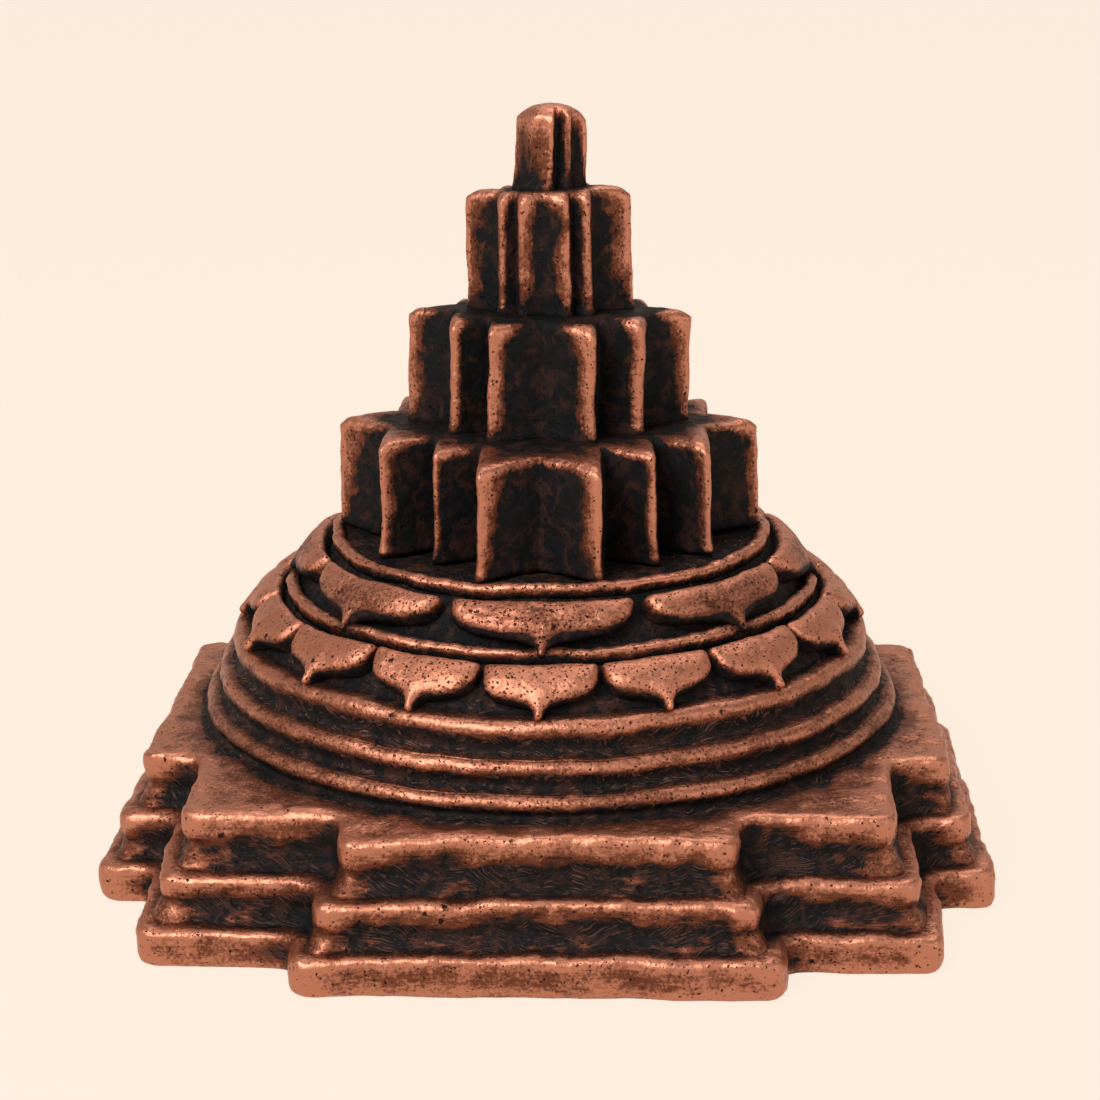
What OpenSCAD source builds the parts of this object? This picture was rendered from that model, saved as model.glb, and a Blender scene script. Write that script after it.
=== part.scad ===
// Meru shri yantra: a small stepped altar piece in antique copper.
// The cast tiers are stacked on one square tie bar, which lines them up, and clamped from below.
// Millimetres, +Z up, front towards -Y, origin in the middle of the underside.

/* [Base terraces] */
// Width across two opposite gates of the lowest terrace
base_w = 76; // [72:1:120]
// Width of a gate block on the lowest terrace
gate_w = 39.2; // [34:0.2:46]
// How far a gate block stands out from the square
gate_out = 5.4; // [3:0.1:7]
// How far each terrace is drawn in from the one below
terrace_step = 1.85; // [1:0.05:2.5]
// Height of the lowest terrace
terrace_lower_h = 3.4; // [3:0.1:8]
// Height of the middle terrace
terrace_middle_h = 4.0; // [2:0.1:8]
// Height of the highest terrace
terrace_upper_h = 4.7; // [3.5:0.1:8]
// Wall between the square hollow underneath and the edge of the highest terrace
base_wall = 5.4; // [5:0.1:9]

/* [Girdles] */
// Ledge of the highest terrace in front of the lowest girdle, at a gate
girdle_ledge = 3.2; // [2.5:0.1:5]
// How far each girdle is drawn in from the one below
girdle_step = 1.3; // [0.8:0.1:1.6]
// Height of the lowest girdle
girdle_lower_h = 2.1; // [1.8:0.1:5]
// Height of the middle girdle
girdle_middle_h = 2.6; // [1.8:0.1:5]
// Height of the highest girdle
girdle_upper_h = 3.0; // [1.8:0.1:5]
// Radius of a girdle's rounded upper edge
girdle_round = 0.8; // [0.3:0.1:1]

/* [Lotus rows] */
// Petals in the outer row
outer_petals = 16; // [8:4:24]
// Petals in the inner row
inner_petals = 8; // [4:4:12]
// Ledge of the highest girdle that shows outside the outer course
outer_ledge = 2.0; // [1.6:0.1:2.6]
// Height of the outer course
outer_course_h = 3.3; // [2.5:0.1:5]
// How far the outer course is drawn in from its foot to its top
outer_draw = 3.4; // [2.4:0.1:4.4]
// Thickness of the lip between the two rows
lip_t = 0.8; // [0.5:0.1:1.2]
// Ledge of the lip that shows outside the inner course
inner_ledge = 1.6; // [1.5:0.1:2.2]
// Height of the inner course above its lip
inner_course_h = 3.6; // [2.5:0.1:5]
// How far the inner course is drawn in from its foot to its top
inner_draw = 3.1; // [2.4:0.1:4]
// How far the lip and the plinth stand out over the course under them
overhang = 0.5; // [0.3:0.1:0.8]
// Thickness of a petal at its upper and lower edge
petal_t = 1.0; // [0.6:0.1:1.2]
// Thickness of a petal at its crown
petal_crown = 1.2; // [0.9:0.1:1.5]
// How far a petal's body stands out past the foot of its course
petal_reach = 0.5; // [0.2:0.1:0.6]
// Gap between neighbouring petals at their inner ends
petal_gap = 0.4; // [0.2:0.1:1]
// How far a petal's tip runs out past its body
petal_tip = 1.0; // [0.5:0.1:1]
// How far a petal's end face stands outside its upper edge
petal_edge = 0.3; // [0.2:0.05:0.4]
// How much of its tip a petal's point stops short of
petal_blunt = 0.1; // [0.05:0.05:0.2]
// Share of a petal's angle that is left at its outer end
petal_taper = 0.76; // [0.6:0.02:0.95]
// Share of a petal's outer end that its point takes up
petal_point = 0.35; // [0.2:0.05:0.6]

/* [Star tiers] */
// Ledge of the plinth round the fourteen-cornered tier
star_ledge = 0.9; // [0.5:0.1:2]
// Thickness of the plinth
plinth_t = 0.8; // [0.6:0.1:2]
// Height of the fourteen-cornered tier
fourteen_h = 9.5; // [5:0.1:15]
// Height of the larger ten-cornered tier
ten_outer_h = 9.9; // [5:0.1:15]
// Height of the smaller ten-cornered tier
ten_inner_h = 10.5; // [5:0.1:15]
// Height of the crown
crown_h = 7.4; // [6:0.1:12]
// How much smaller the larger ten-cornered tier is drawn, at the radius of its circle
ten_outer_draw = 1.9; // [1:0.1:2.6]
// How much smaller again the smaller ten-cornered tier is drawn
ten_inner_draw = 2.4; // [1:0.1:3]
// How much smaller again the crown is drawn
crown_draw = 2.5; // [2:0.1:2.9]
// Radius of the crown's rounded top
crown_dome_r = 5.8; // [3.8:0.1:5.9]

/* [Tie bar and fasteners] */
// Width of the square tie bar
bar_w = 3.0; // [2.4:0.1:3.2]
// Clearance on each side of the bar, and round each screw shank
bar_play = 0.1; // [0.05:0.05:0.3]
// Play between a thread and the hole that it is screwed into
thread_play = 0.03; // [0.01:0.01:0.06]
// Diameter of the stud that holds the crown
crown_stud_d = 1.6; // [1.2:0.1:1.8]
// Length of the stud that holds the crown
crown_stud_l = 4.0; // [2.5:0.1:4.2]
// Thickness of the clamp nut
nut_t = 2.4; // [1.6:0.1:2.6]
// Width of the clamp nut across its flats
nut_flats = 5.5; // [5:0.1:8]
// Outside diameter of the clamp washer
washer_d = 7.0; // [6:0.1:12]
// Thickness of the clamp washer
washer_t = 0.5; // [0.3:0.1:0.8]
// How far the bar's lower thread shows below the nut
thread_end = 0.8; // [0.4:0.1:1]
// Diameter of the four base screws
screw_d = 2.0; // [1.6:0.1:2.5]
// Diameter of a base screw's head
screw_head_d = 3.8; // [3:0.1:4]
// Height of a base screw's head
screw_head_h = 1.3; // [1:0.1:1.4]
// How far a screw head lies above the underside
screw_sink = 0.4; // [0.2:0.1:0.6]
// How deep a base screw goes into the highest terrace
screw_grip = 2.6; // [1.5:0.1:2.8]
// Width of a screw head's slot
slot_w = 0.5; // [0.3:0.1:0.8]
// Room between the bar's lower shoulder and the washer
shoulder_room = 0.5; // [0.2:0.1:1]
// Room left at the end of each blind hole
blind_end = 0.2; // [0.1:0.1:0.4]

/* [Hidden] */
$fn = 96;
copper = "#a8603f";
dark_copper = "#5b382b";
steel = "#8c8f94";
cut = 0.5;

function outer_name(i) = str("outer_petal_", i < 10 ? "0" : "", i);
function inner_name(i) = str("inner_petal_", i);

// Heights at which the pieces meet, from the underside up
z_middle = terrace_lower_h;
z_upper = z_middle + terrace_middle_h;
z_girdles = z_upper + terrace_upper_h;
z_girdle_2 = z_girdles + girdle_lower_h;
z_girdle_3 = z_girdle_2 + girdle_middle_h;
z_outer = z_girdle_3 + girdle_upper_h;
z_lip = z_outer + outer_course_h;
z_inner = z_lip + lip_t;
z_plinth = z_inner + inner_course_h;
z_fourteen = z_plinth + plinth_t;
z_ten_outer = z_fourteen + fourteen_h;
z_ten_inner = z_ten_outer + ten_outer_h;
z_crown = z_ten_inner + ten_inner_h;
z_nut = z_upper - washer_t - nut_t;
z_screw_end = z_upper + screw_grip;

// Half the width of the highest terrace, at its square and at its gates
upper_half = base_w / 2 - gate_out - 2 * terrace_step;
upper_reach = base_w / 2 - 2 * terrace_step;
hollow_w = 2 * (upper_half - base_wall);
screw_place = upper_half - base_wall / 2;

// Radii from the lowest girdle in to the crown
girdle_r = upper_reach - girdle_ledge;
girdle_top_r = girdle_r - 2 * girdle_step;
outer_foot_r = girdle_top_r - outer_ledge;
outer_top_r = outer_foot_r - outer_draw;
inner_lip_r = outer_top_r + overhang;
inner_foot_r = inner_lip_r - inner_ledge;
inner_top_r = inner_foot_r - inner_draw;
plinth_r = inner_top_r + overhang;
star_r = plinth_r - star_ledge;
ten_outer_r = star_r - ten_outer_draw;
ten_inner_r = ten_outer_r - ten_inner_draw;
crown_r = ten_inner_r - crown_draw;

bar_hole_w = bar_w + 2 * bar_play;

// The classical drawing: nine base lines across a circle that is cut into 48 parts from its top.
// Line k is trimmed at both ends, and the triangle on it has its point at part apex[k].
parts = 48;
line = [0, 6, 12, 17, 20, 23, 27, 30, 36, 42];
trim = [0, 3, 5, 0, 16, 18, 16, 0, 4, 3];
apex = [0, 27, 42, 48, 36, 30, 12, 0, 6, 17];

function height(part) = 1 - 2 * part / parts;
function level(k) = height(line[k]);
function half(k) = (sqrt(line[k] * (parts - line[k])) - trim[k]) / (parts / 2);
function slope(t) = half(t) / (level(t) - height(apex[t]));
function side(t, y) = slope(t) * (y - height(apex[t]));

// Points of the drawing: on the axis, the end of a base line, a base line and a side, two sides
function on_axis(k) = [level(k), 0];
function corner(k) = [level(k), half(k)];
function meet(k, t) = [level(k), side(t, level(k))];
function crossing(s, t) =
    let (y = (slope(s) * height(apex[s]) - slope(t) * height(apex[t])) / (slope(s) - slope(t)))
    [y, side(s, y)];

// One half of each outline in the drawing, from its corner at the top to its corner at the bottom
fourteen_half = [
    [1, 0], meet(1, 7), corner(1), meet(2, 7), corner(2), meet(3, 7), corner(3), crossing(3, 7),
    corner(7), meet(7, 3), corner(8), meet(8, 3), corner(9), meet(9, 3), [-1, 0]
];
ten_outer_half = [
    on_axis(1), meet(2, 8), meet(2, 7), meet(3, 8), meet(3, 7), crossing(2, 8),
    meet(7, 3), meet(7, 2), meet(8, 3), meet(8, 2), on_axis(9)
];
ten_inner_half = [
    on_axis(2), meet(3, 6), meet(3, 8), meet(4, 6), corner(4), crossing(4, 6),
    corner(6), meet(6, 4), meet(7, 2), meet(7, 4), on_axis(8)
];
crown_half = [
    on_axis(3), meet(4, 9), meet(4, 6), meet(5, 1), corner(5), meet(6, 4), on_axis(7)
];

function whole(outline) = concat(
    outline,
    [for (i = [len(outline) - 2 : -1 : 1]) [outline[i].x, -outline[i].y]]
);

// Plan of a terrace that is drawn in by the given amount
module terrace_plan(inset) {
    square(base_w - 2 * gate_out - 2 * inset, center = true);
    for (turn = [0, 90])
        rotate(turn)
            square([gate_w - 2 * inset, base_w - 2 * inset], center = true);
}

// Square hole for the tie bar between two heights
module bar_hole(z_low, z_high) {
    translate([-bar_hole_w / 2, -bar_hole_w / 2, z_low - cut])
        cube([bar_hole_w, bar_hole_w, z_high - z_low + 2 * cut]);
}

// Copies its children at the four base screws
module at_screws() {
    for (x = [-1, 1], y = [-1, 1])
        translate([x * screw_place, y * screw_place, 0])
            children();
}

// Square hollow under the base between two heights
module hollow(z_low, z_high) {
    translate([-hollow_w / 2, -hollow_w / 2, z_low - cut])
        cube([hollow_w, hollow_w, z_high - z_low + 2 * cut]);
}

// Clearance hole for a base screw between two heights
module screw_hole(z_low, z_high) {
    translate([0, 0, z_low - cut])
        cylinder(h = z_high - z_low + 2 * cut, d = screw_d + 2 * bar_play);
}

module bhupura_lower() {
    color(copper)
        difference() {
            linear_extrude(terrace_lower_h) terrace_plan(0);
            hollow(0, z_middle);
            at_screws() {
                screw_hole(0, z_middle);
                translate([0, 0, -cut])
                    cylinder(h = cut + screw_sink + screw_head_h, d = screw_head_d + 2 * bar_play);
            }
        }
}

module bhupura_middle() {
    color(copper)
        difference() {
            translate([0, 0, z_middle])
                linear_extrude(terrace_middle_h) terrace_plan(terrace_step);
            hollow(z_middle, z_upper);
            at_screws() screw_hole(z_middle, z_upper);
        }
}

module bhupura_upper() {
    color(copper)
        difference() {
            translate([0, 0, z_upper])
                linear_extrude(terrace_upper_h) terrace_plan(2 * terrace_step);
            bar_hole(z_upper, z_girdles);
            at_screws()
                translate([0, 0, z_upper - cut])
                    cylinder(h = cut + screw_grip + blind_end, d = screw_d + 2 * thread_play);
        }
}

// Round step with a rounded upper edge
module girdle(r, z, h) {
    color(copper)
        difference() {
            translate([0, 0, z])
                rotate_extrude() {
                    square([r - girdle_round, h]);
                    square([r, h - girdle_round]);
                    translate([r - girdle_round, h - girdle_round]) intersection() {
                        circle(girdle_round);
                        square(girdle_round);
                    }
                }
            bar_hole(z, z + h);
        }
}

module girdle_lower() girdle(girdle_r, z_girdles, girdle_lower_h);
module girdle_middle() girdle(girdle_r - girdle_step, z_girdle_2, girdle_middle_h);
module girdle_upper() girdle(girdle_top_r, z_girdle_3, girdle_upper_h);

// Cone that carries a petal row, with what its children add
module course(foot_r, top_r, z, h) {
    color(dark_copper)
        difference() {
            union() {
                translate([0, 0, z]) cylinder(h = h, r1 = foot_r, r2 = top_r);
                children();
            }
            bar_hole(z - lip_t, z + h);
        }
}

module outer_lotus_course() course(outer_foot_r, outer_top_r, z_outer, outer_course_h);

module inner_lotus_course()
    course(inner_foot_r, inner_top_r, z_inner, inner_course_h)
        translate([0, 0, z_lip]) cylinder(h = lip_t, r = inner_lip_r);

// Section of a petal row: a pillow on the cone, and a tongue for the points on the ledge below it
module petal_section(foot_r, top_r, h) {
    body_r = foot_r + petal_reach;
    lean = atan2(foot_r - top_r, h);
    crest_r = (foot_r + top_r) / 2 + petal_crown * cos(lean);
    crest_z = h / 2 + petal_crown * sin(lean);
    polygon([
        [foot_r, 0],
        [body_r + petal_tip, 0],
        [body_r, petal_t],
        [crest_r, crest_z],
        [top_r + petal_t, h],
        [top_r, h]
    ]);
}

// Point in plan, at a radius and at an angle from -Y
function at_angle(r, a) = [r * sin(a), -r * cos(a)];

// Plan of one petal that points along -Y: straight flanks that close a little, then a short point.
// The flanks start inside the course, so that only straight stretches of them cut the section.
module petal_plan(foot_r, top_r, count) {
    end_r = foot_r + petal_reach + petal_edge;
    point_r = foot_r + petal_reach + petal_tip - petal_blunt;
    top_a = 180 / count - asin(petal_gap / 2 / top_r);
    end_a = top_a * petal_taper;
    top = at_angle(top_r, top_a);
    end = at_angle(end_r, end_a);
    start = top + (top - end) * petal_t / (end_r - top_r);
    flank = [start, end, at_angle(end_r, end_a * petal_point)];
    polygon(concat(
        flank,
        [[0, -point_r]],
        [for (i = [2 : -1 : 0]) [-flank[i].x, flank[i].y]]
    ));
}

module petal(i, count, foot_r, top_r, z, h) {
    color(copper)
        intersection() {
            translate([0, 0, z])
                rotate_extrude() petal_section(foot_r, top_r, h);
            translate([0, 0, z - cut])
                rotate((i - 1) * 360 / count)
                    linear_extrude(h + 2 * cut) petal_plan(foot_r, top_r, count);
        }
}

module outer_petal(i) petal(i, outer_petals, outer_foot_r, outer_top_r, z_outer, outer_course_h);
module inner_petal(i) petal(i, inner_petals, inner_foot_r, inner_top_r, z_inner, inner_course_h);

module star_plinth() {
    color(copper)
        difference() {
            translate([0, 0, z_plinth]) cylinder(h = plinth_t, r = plinth_r);
            bar_hole(z_plinth, z_fourteen);
        }
}

// Star tier: one half of its outline, the radius of its circle, its foot and its height.
// The drawing is laid with its top towards -X for the tiers, and towards +X for the crown.
module star(outline, r, z, h, turn = 180) {
    translate([0, 0, z])
        linear_extrude(h) rotate(turn) polygon(r * whole(outline));
}

module star_tier(outline, r, z, h) {
    color(copper)
        difference() {
            star(outline, r, z, h);
            bar_hole(z, z + h);
        }
}

module star_fourteen() star_tier(fourteen_half, star_r, z_fourteen, fourteen_h);
module star_ten_outer() star_tier(ten_outer_half, ten_outer_r, z_ten_outer, ten_outer_h);
module star_ten_inner() star_tier(ten_inner_half, ten_inner_r, z_ten_inner, ten_inner_h);

// Crown: its top is a dome, and its foot has a blind hole for the stud of the tie bar
module star_eight_crown() {
    color(copper)
        difference() {
            intersection() {
                star(crown_half, crown_r, z_crown, crown_h, turn = 0);
                union() {
                    translate([0, 0, z_crown]) cylinder(h = crown_h - crown_dome_r, r = crown_dome_r);
                    translate([0, 0, z_crown + crown_h - crown_dome_r]) sphere(crown_dome_r);
                }
            }
            translate([0, 0, z_crown - cut])
                cylinder(h = cut + crown_stud_l + blind_end, d = crown_stud_d + 2 * thread_play);
        }
}

// Square bar with a round stud at each end: the upper one holds the crown, the lower one the nut
module tie_bar() {
    shoulder_z = z_upper + shoulder_room;
    color(steel) {
        translate([-bar_w / 2, -bar_w / 2, shoulder_z]) cube([bar_w, bar_w, z_crown - shoulder_z]);
        translate([0, 0, z_crown]) cylinder(h = crown_stud_l, d = crown_stud_d);
        translate([0, 0, z_nut - thread_end]) cylinder(h = shoulder_z - z_nut + thread_end, d = bar_w);
    }
}

module clamp_washer() {
    color(steel)
        translate([0, 0, z_upper - washer_t])
            difference() {
                cylinder(h = washer_t, d = washer_d);
                translate([0, 0, -cut]) cylinder(h = washer_t + 2 * cut, d = bar_hole_w);
            }
}

module clamp_nut() {
    color(steel)
        translate([0, 0, z_nut])
            difference() {
                cylinder(h = nut_t, d = nut_flats / cos(30), $fn = 6);
                translate([0, 0, -cut]) cylinder(h = nut_t + 2 * cut, d = bar_w + 2 * thread_play);
            }
}

module base_screws() {
    color(steel)
        at_screws()
            difference() {
                union() {
                    translate([0, 0, screw_sink]) cylinder(h = screw_head_h, d = screw_head_d);
                    translate([0, 0, screw_sink]) cylinder(h = z_screw_end - screw_sink, d = screw_d);
                }
                translate([-screw_head_d, -slot_w / 2, 0])
                    cube([2 * screw_head_d, slot_w, screw_sink + screw_head_h / 2]);
            }
}

bhupura_lower();
bhupura_middle();
bhupura_upper();
girdle_lower();
girdle_middle();
girdle_upper();
outer_lotus_course();
for (i = [1 : outer_petals])
    outer_petal(i);
inner_lotus_course();
for (i = [1 : inner_petals])
    inner_petal(i);
star_plinth();
star_fourteen();
star_ten_outer();
star_ten_inner();
star_eight_crown();
tie_bar();
clamp_washer();
clamp_nut();
base_screws();
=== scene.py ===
import math

import bmesh
import bpy
import numpy as np
from mathutils import Matrix, Vector, geometry, kdtree


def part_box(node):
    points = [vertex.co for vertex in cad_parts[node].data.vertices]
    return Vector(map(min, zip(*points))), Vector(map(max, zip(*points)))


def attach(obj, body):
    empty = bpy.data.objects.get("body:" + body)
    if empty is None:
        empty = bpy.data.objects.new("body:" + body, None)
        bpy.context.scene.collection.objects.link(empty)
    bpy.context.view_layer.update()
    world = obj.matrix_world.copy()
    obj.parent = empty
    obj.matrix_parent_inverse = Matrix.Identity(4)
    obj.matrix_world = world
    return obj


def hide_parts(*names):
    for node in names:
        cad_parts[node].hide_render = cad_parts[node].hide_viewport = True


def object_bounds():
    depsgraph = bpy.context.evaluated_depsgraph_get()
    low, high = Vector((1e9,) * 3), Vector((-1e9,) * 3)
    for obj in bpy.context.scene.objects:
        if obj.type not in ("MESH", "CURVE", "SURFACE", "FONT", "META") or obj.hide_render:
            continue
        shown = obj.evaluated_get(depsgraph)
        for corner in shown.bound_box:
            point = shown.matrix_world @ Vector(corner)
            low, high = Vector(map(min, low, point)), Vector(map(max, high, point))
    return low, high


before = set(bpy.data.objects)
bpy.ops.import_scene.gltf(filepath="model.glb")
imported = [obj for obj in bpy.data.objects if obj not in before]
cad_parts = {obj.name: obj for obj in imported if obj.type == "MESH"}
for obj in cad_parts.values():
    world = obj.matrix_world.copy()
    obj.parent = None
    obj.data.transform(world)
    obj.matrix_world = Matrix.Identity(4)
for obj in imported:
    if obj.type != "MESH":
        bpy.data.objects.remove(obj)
cad_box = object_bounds()

# Lowest terrace: a square frame cast in copper alloy, drawn out into a gate block on each side.
# It stands on the table and is hollow underneath. Casting and handling have rounded its edges.
MM = 0.001
GATE_HALF = 19.6 * MM
GATE_OUT = 5.4 * MM
HOLLOW_HALF = 23.5 * MM
SCREW_PLACE = 26.2 * MM
SCREW_HOLE_R = 1.1 * MM
SCREW_HEAD_HOLE_R = 2.0 * MM
SCREW_HEAD_DEPTH = 1.7 * MM
PLAN_CORNER = 1.7 * MM
TERRACE_GRAIN = 0.36 * MM
TERRACE_MELTS = 7
TERRACE_WOBBLE = 0.6 * MM
TERRACE_SWELL = 0.25 * MM
FOOT_HEIGHT = 1.5 * MM
HOLE_SIDES = 32
CORNER_STEPS = 4
SMALLEST = 0.001 * MM
SMALLEST_ANGLE = 0.01

cast_pieces = []


def pick_edges(piece, test):
    """Selects, in edit mode, only the edges with both ends inside the test."""
    bpy.ops.mesh.select_mode(type="EDGE")
    bpy.ops.mesh.select_all(action="DESELECT")
    mesh = bmesh.from_edit_mesh(piece.data)
    for edge in mesh.edges:
        edge.select_set(all(test(corner.co) for corner in edge.verts))
    bmesh.update_edit_mesh(piece.data)


def apply_modifier(piece, kind, **settings):
    """Adds one modifier to a piece and applies it."""
    bpy.context.view_layer.objects.active = piece
    modifier = piece.modifiers.new(kind.lower(), kind)
    for name, value in settings.items():
        setattr(modifier, name, value)
    bpy.ops.object.modifier_apply(modifier=modifier.name)


def cut_box(piece, half, low, high):
    """Cuts a square hole of this half width through a piece, between two heights."""
    bpy.ops.object.select_all(action="DESELECT")
    bpy.ops.mesh.primitive_cube_add(size=1, location=(0, 0, (low + high) / 2))
    tool = bpy.context.object
    tool.scale = (2 * half, 2 * half, high - low)
    bpy.ops.object.transform_apply(location=True, rotation=True, scale=True)
    apply_modifier(piece, "BOOLEAN", object=tool, operation="DIFFERENCE", solver="MANIFOLD")
    bpy.data.objects.remove(tool)


def drill_screw_holes(piece, radius, low, high):
    """Drills a piece at the four base screws, between two heights."""
    for x in (-SCREW_PLACE, SCREW_PLACE):
        for y in (-SCREW_PLACE, SCREW_PLACE):
            bpy.ops.object.select_all(action="DESELECT")
            bpy.ops.mesh.primitive_cylinder_add(
                vertices=HOLE_SIDES, radius=radius, depth=high - low, location=(x, y, (low + high) / 2)
            )
            drill = bpy.context.object
            apply_modifier(piece, "BOOLEAN", object=drill, operation="DIFFERENCE", solver="MANIFOLD")
            bpy.data.objects.remove(drill)


def terrace_slab(node, out, low, high):
    """Models one slab of a terrace from its plan, a square with four gates, between two shares of the
    terrace's height. Out is how far the slab stands out from the terrace's own plan."""
    bottom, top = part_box(node)
    floor_z = bottom.z + (top.z - bottom.z) * low
    reach = top.x + out
    gate_half = GATE_HALF - (cad_box[1].x - reach)
    square_half = reach - GATE_OUT
    bpy.ops.object.select_all(action="DESELECT")
    bpy.ops.mesh.primitive_plane_add(size=2 * square_half, location=(0, 0, floor_z))
    slab = bpy.context.object
    bpy.ops.object.transform_apply(location=True)
    bpy.ops.object.mode_set(mode="EDIT")
    for place in (-gate_half, gate_half):
        for across in ((1, 0, 0), (0, 1, 0)):
            bpy.ops.mesh.select_all(action="SELECT")
            bpy.ops.mesh.bisect(plane_co=Vector(across) * place, plane_no=across)
    for side in ((1, 0), (0, 1), (-1, 0), (0, -1)):
        outward = Vector((*side, 0))
        along = Vector((side[1], side[0], 0))
        pick_edges(
            slab,
            lambda place: place.dot(outward) > square_half - SMALLEST
            and abs(place.dot(along)) < gate_half + SMALLEST,
        )
        bpy.ops.mesh.extrude_region_move(TRANSFORM_OT_translate={"value": outward * GATE_OUT})
    bpy.ops.mesh.select_all(action="SELECT")
    bpy.ops.mesh.dissolve_limited(angle_limit=SMALLEST_ANGLE)
    bpy.ops.mesh.select_all(action="SELECT")
    bpy.ops.mesh.bevel(offset=PLAN_CORNER, segments=CORNER_STEPS, affect="VERTICES")
    bpy.ops.mesh.select_all(action="SELECT")
    rise = (top.z - bottom.z) * (high - low)
    bpy.ops.mesh.extrude_region_move(TRANSFORM_OT_translate={"value": (0, 0, rise)})
    bpy.ops.mesh.select_all(action="SELECT")
    bpy.ops.mesh.normals_make_consistent(inside=False)
    bpy.ops.object.mode_set(mode="OBJECT")
    return slab


def terrace_block(node, slabs, square_holes, screw_holes):
    """Stacks the slabs of a terrace, cuts its square holes, drills it for the screws and joins it."""
    stack = []
    for out, low, high in slabs:
        slab = terrace_slab(node, out, low, high)
        for half, hole_low, hole_high in square_holes:
            cut_box(slab, half, hole_low, hole_high)
        for radius, hole_low, hole_high in screw_holes:
            drill_screw_holes(slab, radius, hole_low, hole_high)
        stack.append(slab)
    bpy.ops.object.select_all(action="DESELECT")
    for slab in stack:
        slab.select_set(True)
    bpy.context.view_layer.objects.active = stack[0]
    bpy.ops.object.join()
    stack[0].name = node + "_cast"
    return stack[0]


def cast_texture(name, size, kind="GRAYSCALE"):
    """A soft cloud pattern that the unevenness of the casting follows."""
    texture = bpy.data.textures.new(name, "CLOUDS")
    texture.noise_scale = size
    texture.noise_depth = 2
    texture.cloud_type = kind
    return texture


DRIFT = 0.9 * MM
DRIFT_SIZE = 15 * MM
WOBBLE = 0.3 * MM
WOBBLE_SIZE = 4.0 * MM
SWELL = 0.14 * MM
SWELL_SIZE = 1.1 * MM
mould_drift = cast_texture("mould_drift", DRIFT_SIZE, "COLOR")
mould_wobble = cast_texture("mould_wobble", WOBBLE_SIZE, "COLOR")
skin_swell = cast_texture("skin_swell", SWELL_SIZE)


def read_points(piece, field="co"):
    """The places or the normals of a mesh's points, one row each."""
    rows = np.empty(len(piece.data.vertices) * 3)
    piece.data.vertices.foreach_get(field, rows)
    return rows.reshape(-1, 3)


def move_points(piece, points):
    """Moves the points of a mesh to new places."""
    piece.data.vertices.foreach_set("co", points.ravel())
    piece.data.update()


def fuse(piece, grain):
    """Fuses a piece into one skin of this grain."""
    apply_modifier(piece, "REMESH", mode="VOXEL", voxel_size=grain)


def melt(piece, rounds):
    """Softens the edges of a piece, more with each round."""
    apply_modifier(piece, "SMOOTH", factor=0.5, iterations=rounds)


def cast_surface(piece, grain, melts, wobble=WOBBLE, swell=SWELL, foot=None):
    """Gives a piece the skin of a hand-finished casting: fused, softened and a little uneven.
    The drift is one pattern through the whole stack, so pieces that touch stay in touch.
    Where the height of a ground foot is given, the piece stays flat there."""
    if grain:
        fuse(piece, grain)
    if melts:
        melt(piece, melts)
    level = read_points(piece)[:, 2]
    for texture, strength in ((mould_drift, DRIFT), (mould_wobble, wobble)):
        apply_modifier(
            piece, "DISPLACE", texture=texture, texture_coords="LOCAL", direction="RGB_TO_XYZ",
            strength=strength, mid_level=0.5,
        )
    apply_modifier(
        piece, "DISPLACE", texture=skin_swell, texture_coords="LOCAL", direction="NORMAL",
        strength=swell, mid_level=0.5,
    )
    if foot is not None:
        points = read_points(piece)
        points[:, 2] = level + (points[:, 2] - level) * np.clip((level - foot) / FOOT_HEIGHT, 0, 1)
        move_points(piece, points)
    bpy.ops.object.select_all(action="DESELECT")
    piece.select_set(True)
    bpy.context.view_layer.objects.active = piece
    bpy.ops.object.shade_smooth()
    cast_pieces.append(piece)


def put(tree, kind, settings=(), **sockets):
    """Adds a shader node, sets it, and feeds its inputs with values or with other nodes' outputs.
    An input goes by its name, with _ for a space, or by its number, as in i0."""
    node = tree.nodes.new("ShaderNode" + kind)
    for name, value in dict(settings).items():
        setattr(node, name, value)
    for name, value in sockets.items():
        place = int(name[1:]) if name[1:].isdigit() else name.replace("_", " ")
        if isinstance(value, bpy.types.NodeSocket):
            tree.links.new(value, node.inputs[place])
        else:
            node.inputs[place].default_value = value
    return node


def math_of(tree, operation, first, second):
    """One arithmetic step between two values."""
    return put(tree, "Math", {"operation": operation}, i0=first, i1=second).outputs[0]


def ramp_of(tree, value, low, high, start=0.0, end=1.0):
    """A soft step: start at low, end at high."""
    return put(
        tree, "MapRange", {"interpolation_type": "SMOOTHSTEP"},
        i0=value, i1=low, i2=high, i3=start, i4=end,
    ).outputs[0]


def blend_of(tree, share, first, second):
    """Mixes two colours by a share."""
    mix = put(tree, "Mix", {"data_type": "RGBA"}, i0=share, i6=first, i7=second)
    return mix.outputs[2]


NOISE_MIDDLE = 0.5


def noise_of(tree, place, scale, detail, roughness=0.5, distortion=0.0):
    """A cloudy pattern round a middle value: finer with more scale, more ragged with more detail."""
    noise = put(
        tree, "TexNoise", Vector=place, Scale=scale,
        Detail=detail, Roughness=roughness, Distortion=distortion,
    )
    return noise.outputs[0]


def swing_of(tree, pattern, amount):
    """A cloudy pattern as a swing of this amount about zero."""
    return math_of(tree, "MULTIPLY", math_of(tree, "SUBTRACT", pattern, NOISE_MIDDLE), amount)


def drawn_of(tree, place, factors):
    """The place for a pattern that is drawn out along the axes with the smallest factors."""
    return put(tree, "VectorMath", {"operation": "MULTIPLY"}, i0=place, i1=factors).outputs[0]


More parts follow.
